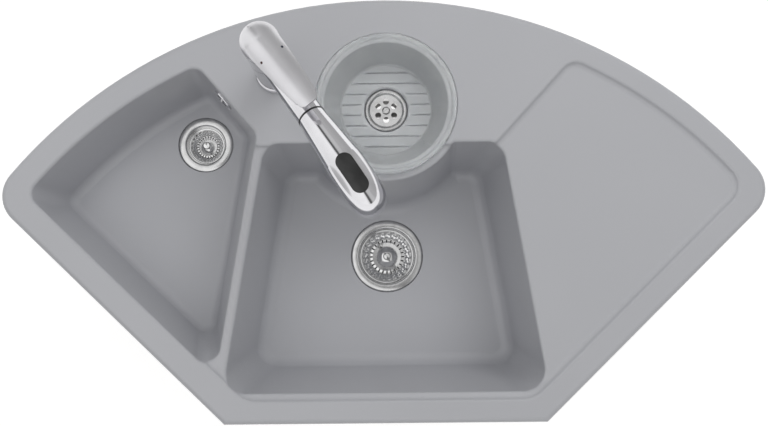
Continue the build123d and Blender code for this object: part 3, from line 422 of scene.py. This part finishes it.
def makeTurnedMetal(name, look, centre):
    # fine turning marks run round an upright axis through centre
    material, nodes, links, shader = newMaterial(name)
    place = objectPlace(nodes, links, centre)
    flat = nodes.new("ShaderNodeVectorMath")
    flat.operation = "MULTIPLY"
    flat.inputs[1].default_value = (1.0, 1.0, 0.0)
    links.new(place, flat.inputs[0])
    away = nodes.new("ShaderNodeVectorMath")
    away.operation = "LENGTH"
    links.new(flat.outputs["Vector"], away.inputs[0])
    marks = nodes.new("ShaderNodeTexNoise")
    marks.noise_dimensions = "1D"
    marks.inputs["Scale"].default_value = look["marks"]
    marks.inputs["Detail"].default_value = 3.0
    links.new(away.outputs["Value"], marks.inputs["W"])
    film = noise(nodes, links, place, turning["filmScale"])
    tone = twoTone(nodes, links, film, turning["film"], look["darker"], look["colour"])
    links.new(tone, shader.inputs["Base Color"])
    links.new(spread(nodes, links, marks.outputs["Fac"], *look["roughness"]), shader.inputs["Roughness"])
    bump(nodes, links, shader, marks.outputs["Fac"], turning["strength"], turning["depth"])
    shader.inputs["Metallic"].default_value = 1.0
    return material


# plastics and rubber: a moulded grain with a slightly uneven colour
moulded = {
    "blackPlastic": {
        "low": grey(0.012), "high": grey(0.026), "rough": (0.34, 0.46), "grain": 2600.0, "depth": 0.25,
    },
    "greyPlastic": {"low": grey(0.36), "high": grey(0.42), "rough": (0.42, 0.55), "grain": 1200.0, "depth": 0.15},
    "whitePlastic": {"low": grey(0.74), "high": grey(0.82), "rough": (0.28, 0.40), "grain": 900.0, "depth": 0.10},
    "sealRubber": {"low": grey(0.020), "high": grey(0.038), "rough": (0.62, 0.80), "grain": 1500.0, "depth": 0.30},
    "fibre": {
        "low": (0.30, 0.16, 0.10), "high": (0.40, 0.22, 0.14), "rough": (0.75, 0.90), "grain": 700.0, "depth": 0.40,
    },
    "redDot": {
        "low": (0.030, 0.006, 0.006), "high": (0.045, 0.009, 0.008), "rough": (0.30, 0.40), "grain": 3000.0,
        "depth": 0.1,
    },
    "blueDot": {
        "low": (0.006, 0.010, 0.030), "high": (0.009, 0.014, 0.045), "rough": (0.30, 0.40), "grain": 3000.0,
        "depth": 0.1,
    },
}
mouldTone = {"reach": (0.35, 0.65), "scale": 35.0, "relief": 0.0001}


def makeMoulded(name):
    look = moulded[name]
    material, nodes, links, shader = newMaterial(name)
    place = objectPlace(nodes, links)
    uneven = noise(nodes, links, place, mouldTone["scale"])
    tone = twoTone(nodes, links, uneven, mouldTone["reach"], look["low"], look["high"])
    links.new(tone, shader.inputs["Base Color"])
    grain = noise(nodes, links, place, look["grain"], 2.0)
    links.new(spread(nodes, links, grain, *look["rough"]), shader.inputs["Roughness"])
    bump(nodes, links, shader, grain, look["depth"], mouldTone["relief"])
    return material


frosted = {
    "colour": (0.90, 0.92, 0.93),
    "paler": (0.95, 0.965, 0.97),
    "milk": (0.35, 0.65),
    "milkScale": 26.0,
    "roughness": (0.14, 0.24),
    "hazeScale": 300.0,
    "rippleScale": 180.0,
    "rippleStrength": 0.04,
    "ripple": 0.0003,
    "clear": 0.68,
}


def makeFrostedPlastic():
    material, nodes, links, shader = newMaterial("frostedPlastic")
    place = objectPlace(nodes, links)
    milk = noise(nodes, links, place, frosted["milkScale"])
    tone = twoTone(nodes, links, milk, frosted["milk"], frosted["colour"], frosted["paler"])
    links.new(tone, shader.inputs["Base Color"])
    haze = noise(nodes, links, place, frosted["hazeScale"])
    links.new(spread(nodes, links, haze, *frosted["roughness"]), shader.inputs["Roughness"])
    ripples = noise(nodes, links, place, frosted["rippleScale"], 1.0)
    bump(nodes, links, shader, ripples, frosted["rippleStrength"], frosted["ripple"])
    shader.inputs["Transmission Weight"].default_value = frosted["clear"]
    shader.inputs["IOR"].default_value = 1.45
    return material


braid = {
    "low": grey(0.05),
    "high": grey(0.30),
    "reach": (0.1, 0.9),
    "strands": 18.0,  # round the hose
    "lay": 900.0,  # radians of twist per metre
    "axisTurn": -56.0,
    "axisRise": 22.0,
    "strength": 0.6,
    "relief": 0.0004,
    "roughness": 0.45,
}


def makeHoseBraid():
    # two sets of strands wound against each other round the hose's own axis
    material, nodes, links, shader = newMaterial("hoseBraid")
    place = objectPlace(nodes, links, middleOf("spray_hose"))
    level = turnPlace(nodes, links, place, "Z", -braid["axisTurn"])
    along, side, up = split(nodes, links, turnPlace(nodes, links, level, "Y", braid["axisRise"]))
    around = compute(nodes, links, "ARCTAN2", side, up)
    twist = compute(nodes, links, "MULTIPLY", along, braid["lay"])
    waves = []
    for sense in (1.0, -1.0):
        phase = compute(nodes, links, "MULTIPLY_ADD", around, braid["strands"] * sense, twist)
        waves.append(compute(nodes, links, "SINE", phase))
    crossed = compute(nodes, links, "MAXIMUM", *waves)
    tone = twoTone(nodes, links, crossed, braid["reach"], braid["low"], braid["high"])
    links.new(tone, shader.inputs["Base Color"])
    bump(nodes, links, shader, crossed, braid["strength"], braid["relief"])
    shader.inputs["Roughness"].default_value = braid["roughness"]
    return material


threads = {
    "shank": {
        "low": (0.62, 0.44, 0.20), "high": (0.80, 0.60, 0.30), "rough": (0.24, 0.36), "pitch": 0.0015,
        "metallic": 1.0,
    },
    "outlet": {"low": grey(0.36), "high": grey(0.42), "rough": (0.42, 0.55), "pitch": 0.0023, "metallic": 0.0},
}
threadTone = {"reach": (0.35, 0.65), "scale": 40.0, "strength": 0.9, "share": 0.45}  # groove depth by pitch
threadEnds = {"shankTop": -0.009, "outletStart": 0.001, "outletLength": 0.023}


def makeThreaded(name, look, centre, low, high):
    # a plain body with screw grooves between two heights
    material, nodes, links, shader = newMaterial(name)
    uneven = noise(nodes, links, objectPlace(nodes, links, centre), threadTone["scale"])
    tone = twoTone(nodes, links, uneven, threadTone["reach"], look["low"], look["high"])
    links.new(tone, shader.inputs["Base Color"])
    links.new(spread(nodes, links, uneven, *look["rough"]), shader.inputs["Roughness"])
    height = split(nodes, links, objectPlace(nodes, links))[2]
    turns = compute(nodes, links, "PINGPONG", height, look["pitch"] / 2)
    inside = compute(nodes, links, "COMPARE", height, (low + high) / 2, (high - low) / 2)
    grooves = compute(nodes, links, "MULTIPLY", turns, inside)
    deep = compute(nodes, links, "MULTIPLY", grooves, 2 / look["pitch"])
    bump(nodes, links, shader, deep, threadTone["strength"], look["pitch"] * threadTone["share"])
    shader.inputs["Metallic"].default_value = look["metallic"]
    return material


def spinOutline(outline, centre, steps, closed):
    # outline: (radius, height) pairs in millimetres, turned round an upright axis through centre
    mesh = bmesh.new()
    points = [mesh.verts.new(centre + Vector((mm(r), 0, mm(z)))) for r, z in outline]
    following = points[1:] + points[:1] if closed else points[1:]
    edges = [mesh.edges.new(pair) for pair in zip(points, following)]
    bmesh.ops.spin(
        mesh, geom=points + edges, cent=centre, axis=(0, 0, 1), angle=2 * pi, steps=steps, use_merge=True,
    )
    bmesh.ops.remove_doubles(mesh, verts=mesh.verts, dist=1e-6)
    return mesh


def soften(made):
    smooth = made.modifiers.new("smooth", "SUBSURF")
    smooth.levels = smooth.render_levels = 1
    made.data.shade_smooth()


# the basket strainers, with heights from the top of their rim
basketShape = {"lobes": 24, "sheet": 0.8, "stepsPerLobe": 8, "slotFrom": 0.7}
baskets = {
    "main": {
        "outline": [
            (42.4, -1.7), (42.4, -0.5), (41.9, 0.0), (40.6, 0.0), (39.9, -0.6), (39.3, -3.0), (38.6, -7.5),
            (37.0, -10.4), (34.8, -11.7), (32.2, -12.3), (30.2, -13.6), (28.8, -15.6), (27.8, -16.2),
            (25.2, -16.0), (22.6, -15.4), (21.4, -14.8), (15.0, -10.4), (8.2, -6.9), (7.2, -6.2), (0.0, -6.0),
        ],
        "wall": (-15.8, -8.5),  # heights between which the wall is fluted
        "slots": (22.6, 27.8),
        "flutes": 1.5,
    },
    "left": {
        "outline": [
            (27.8, -1.6), (27.8, -0.5), (27.4, 0.0), (25.6, 0.0), (24.8, -0.6), (24.3, -2.4), (23.7, -5.6),
            (22.7, -7.8), (21.4, -8.8), (19.8, -9.5), (18.6, -10.6), (17.7, -12.2), (17.1, -12.7),
            (15.5, -12.5), (13.9, -12.0), (13.2, -11.6), (9.4, -8.8), (5.8, -6.8), (5.2, -6.2), (0.0, -6.0),
        ],
        "wall": (-12.4, -6.6),
        "slots": (13.9, 17.1),
        "flutes": 0.9,
    },
}


def makeBasket(name, material):
    look = baskets[name]
    lobes, (slotIn, slotOut) = basketShape["lobes"], look["slots"]
    centre = topOf(f"{name}_basket")
    mesh = spinOutline(look["outline"], centre, lobes * basketShape["stepsPerLobe"], closed=False)
    bottom, top = (centre.z + mm(z) for z in look["wall"])
    for vert in mesh.verts:
        out = Vector((vert.co.x - centre.x, vert.co.y - centre.y, 0))
        if bottom < vert.co.z < top and out.length >= mm(slotOut):
            swell = sin(pi * (vert.co.z - bottom) / (top - bottom))
            vert.co += out.normalized() * mm(look["flutes"]) * swell * cos(atan2(out.y, out.x) * lobes)
    slots = []
    for face in mesh.faces:
        out = face.calc_center_median() - centre
        within = mm(slotIn) < Vector((out.x, out.y, 0)).length < mm(slotOut)
        if within and cos(atan2(out.y, out.x) * lobes) > basketShape["slotFrom"]:
            slots.append(face)
    bmesh.ops.delete(mesh, geom=slots, context="FACES")
    bmesh.ops.recalc_face_normals(mesh, faces=mesh.faces)
    made = asObject(mesh, f"{name}BasketSheet")
    wall = made.modifiers.new("sheet", "SOLIDIFY")
    wall.thickness = mm(basketShape["sheet"])
    wall.offset = -1.0
    soften(made)
    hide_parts(f"{name}_basket")
    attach(made, f"{name}_basket")
    made.data.materials.append(material)


# crowned rings that lie on the flat flanges, with heights from the flange's top
ringSteps = 96
flangeRings = {
    "main": [
        (45.0, -0.30), (45.2, 0.15), (46.2, 0.45), (48.5, 0.55), (51.5, 0.45), (54.0, 0.05), (55.7, -0.7),
        (56.3, -1.5), (55.6, -1.5), (53.5, -0.30),
    ],
    "left": [
        (30.9, -0.30), (31.1, 0.15), (32.0, 0.50), (34.5, 0.65), (37.5, 0.55), (39.8, 0.10), (41.2, -0.7),
        (41.8, -1.5), (41.1, -1.5), (39.0, -0.30),
    ],
    "grid": [
        (25.2, -1.0), (26.2, 0.10), (27.2, 0.50), (28.6, 0.60), (30.0, 0.35), (31.0, -0.5), (31.3, -1.2),
        (30.6, -1.2), (29.8, -0.30), (27.0, -0.30),
    ],
}


def makeFlangeRing(name, material):
    mesh = spinOutline(flangeRings[name], topOf(f"{name}_waste_flange"), ringSteps, closed=True)
    bmesh.ops.recalc_face_normals(mesh, faces=mesh.faces)
    made = asObject(mesh, f"{name}FlangeRing")
    soften(made)
    made.data.materials.append(material)
    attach(made, "sink")


def dress(material, *nodes):
    for node in nodes:
        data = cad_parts[node].data
        data.materials.clear()
        data.materials.append(material)


makeCamera()
makeWorld()
makeFloor()
makeDome()
for lamp in lamps:
    makeLamp(lamp)
print("camera and studio ready")

dress(makeGlazedCeramic(), "sink_body")
dress(
    makeChromePlate("chromePlate", chrome),
    "tap_base_ring", "tap_body", "spout", "tap_top_ring", "spray_shell", "overflow_plate", "overflow_screw",
    "lever_screw", "tap_clamp_plate", "tap_nut",
)
dress(makeChromePlate("satinChrome", satin), "lever")
for waste in flangeRings:
    flange = f"{waste}_waste_flange"
    turned = makeTurnedMetal(f"{waste}WasteSteel", steel, middleOf(flange))
    dress(turned, flange, f"{waste}_waste_screw")
    if waste in baskets:
        shiny = makeTurnedMetal(f"{waste}BasketSteel", polished, middleOf(flange))
        dress(shiny, f"{waste}_basket", f"{waste}_basket_knob")
        makeBasket(waste, shiny)
    makeFlangeRing(waste, turned)
print("baskets and flange rings made")

dress(
    makeTurnedMetal("turnedBrass", brass, middleOf("tap_shank")),
    "tap_inlet_block", "cartridge_nut", "turret", "lever_stem", "lever_pin", "hose_nut",
)
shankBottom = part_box("tap_shank")[0].z
dress(
    makeThreaded("shankThread", threads["shank"], middleOf("tap_shank"), shankBottom, threadEnds["shankTop"]),
    "tap_shank",
)
for waste in flangeRings:
    body = f"{waste}_waste_body"
    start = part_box(body)[0].z + threadEnds["outletStart"]
    end = start + threadEnds["outletLength"]
    dress(makeThreaded(f"{waste}OutletThread", threads["outlet"], middleOf(body), start, end), body)
dress(makeFrostedPlastic(), "strainer_bowl")
dress(makeMoulded("blackPlastic"), "spray_button", "spray_face", "aerator", "dock_ring", "cartridge_cap")
dress(makeMoulded("greyPlastic"), "overflow_elbow")
dress(makeMoulded("whitePlastic"), "lower_bearing", "upper_bearing", "cartridge")
dress(makeMoulded("fibre"), "tap_fibre_washer")
dress(makeMoulded("redDot"), "hot_dot")
dress(makeMoulded("blueDot"), "cold_dot")
dress(
    makeMoulded("sealRubber"),
    "main_waste_seal", "left_waste_seal", "grid_waste_seal", "main_waste_under_seal", "left_waste_under_seal",
    "grid_waste_under_seal", "overflow_seal", "tap_gasket", "main_basket_seal", "left_basket_seal",
)
dress(makeHoseBraid(), "spray_hose")
print("finishes applied")

bpy.context.scene.view_settings.view_transform = "Standard"
